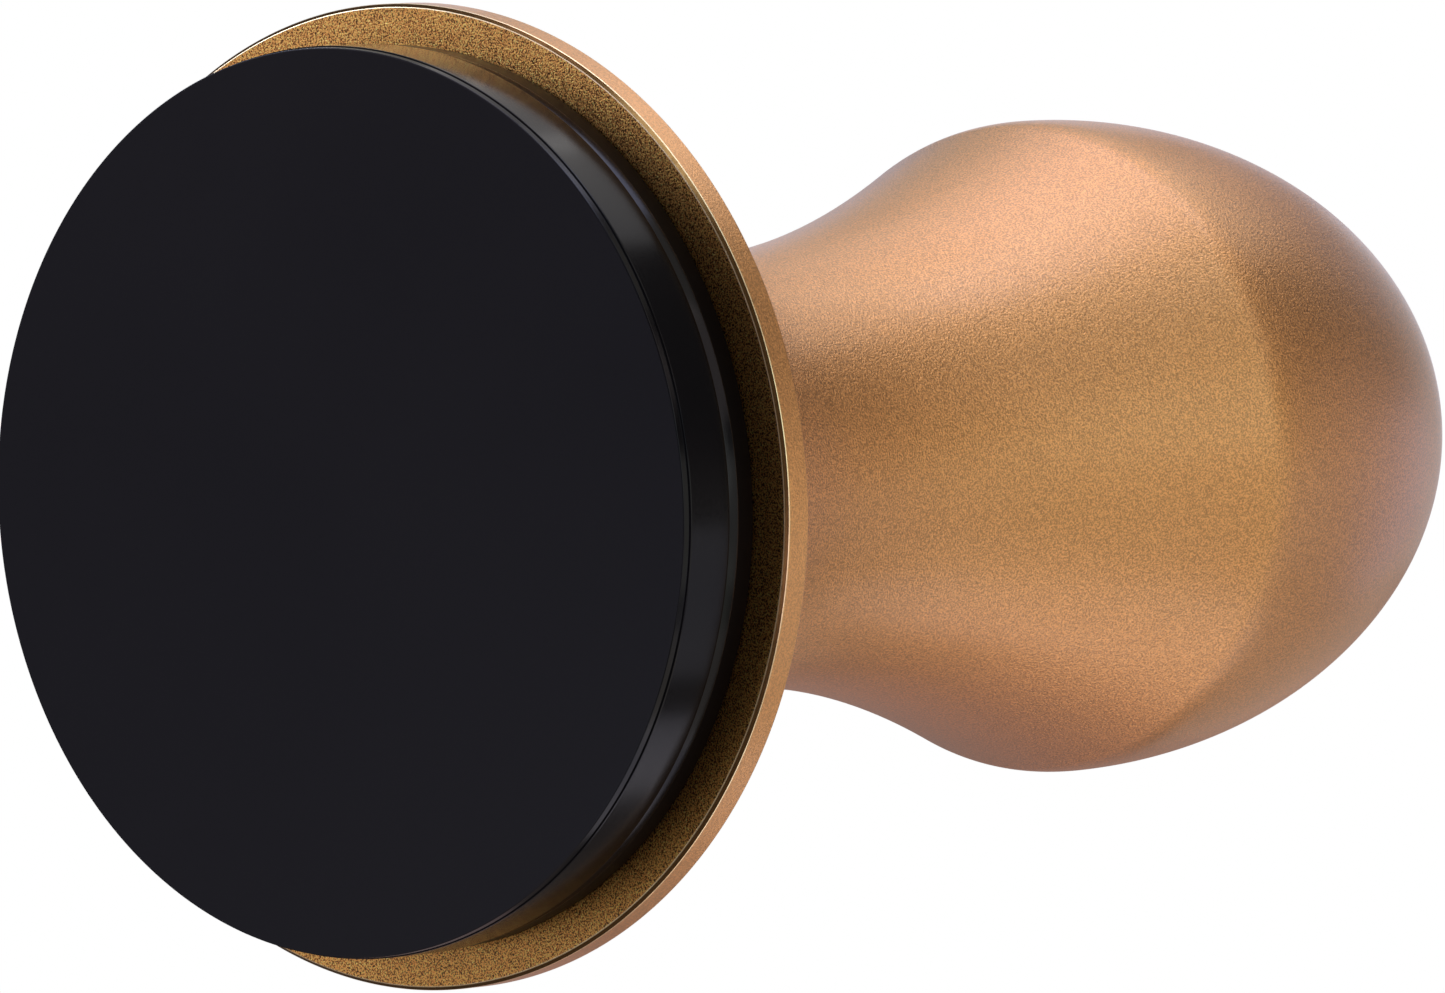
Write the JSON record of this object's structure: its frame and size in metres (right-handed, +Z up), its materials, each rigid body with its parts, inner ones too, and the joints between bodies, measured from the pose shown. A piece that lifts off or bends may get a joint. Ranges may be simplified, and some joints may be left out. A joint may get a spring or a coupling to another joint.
{
  "type": "espresso tamper",
  "caption": "Calibrated espresso tamper: flat round base, spring-loaded levelling collar and a pear-shaped handle that slides on a sprung rod.",
  "frame": {"origin": "centre of the flat tamping face, the lowest point of the tool", "axes": "+Z up along the tool's axis, from the tamping face to the top of the handle"},
  "size_m": [0.0635, 0.0634, 0.106],
  "materials": {
    "base_black": "satin black hard coating on stainless steel",
    "gold_blasted": "bead-blasted, gold anodised",
    "black_anodised": "satin black anodised",
    "ground_steel": "ground",
    "plated_steel": "zinc plated",
    "spring_steel": "drawn wire",
    "bronze": "sintered bronze",
    "white_polymer": "moulded",
    "black_rubber": "moulded",
    "grey_silicone": "moulded"
  },
  "bodies": {
    "base": {"tamping_base": "base_black", "base_seal_ring": "black_rubber", "collar_rest_ring": "grey_silicone", "piston_rod": "ground_steel", "levelling_stop_ring": "plated_steel", "levelling_stop_washer": "plated_steel", "piston_head": "ground_steel", "piston_wear_ring": "white_polymer", "piston_screw_washer": "plated_steel", "piston_screw": "plated_steel", "main_spring_lower_seat": "plated_steel", "main_spring": "spring_steel", "levelling_spring": "spring_steel"},
    "collar": {"levelling_collar": "gold_blasted", "collar_hub": "black_anodised", "hub_bush": "bronze", "sleeve_guide_ring": "white_polymer", "collar_screws": "plated_steel", "levelling_spring_seat": "plated_steel"},
    "handle": {"handle_shell": "gold_blasted", "guide_plug": "black_anodised", "guide_bush": "bronze", "rod_wiper": "black_rubber", "plug_seal_ring": "black_rubber", "stop_bumper": "grey_silicone", "main_spring_upper_seat": "plated_steel", "preload_disc": "ground_steel"}
  },
  "joints": [
    {"name": "handle_press", "type": "slide", "parent": "base", "child": "handle", "axis": [0, 0, -1], "range_m": [0, 0.005], "stiffness_N_per_m": 8000, "springref_m": -0.01, "deforming": ["main_spring"]},
    {"name": "collar_lift", "type": "slide", "parent": "base", "child": "collar", "axis": [0, 0, 1], "range_m": [0, 0.006], "stiffness_N_per_m": 600, "springref_m": -0.008, "deforming": ["levelling_spring"]}
  ]
}
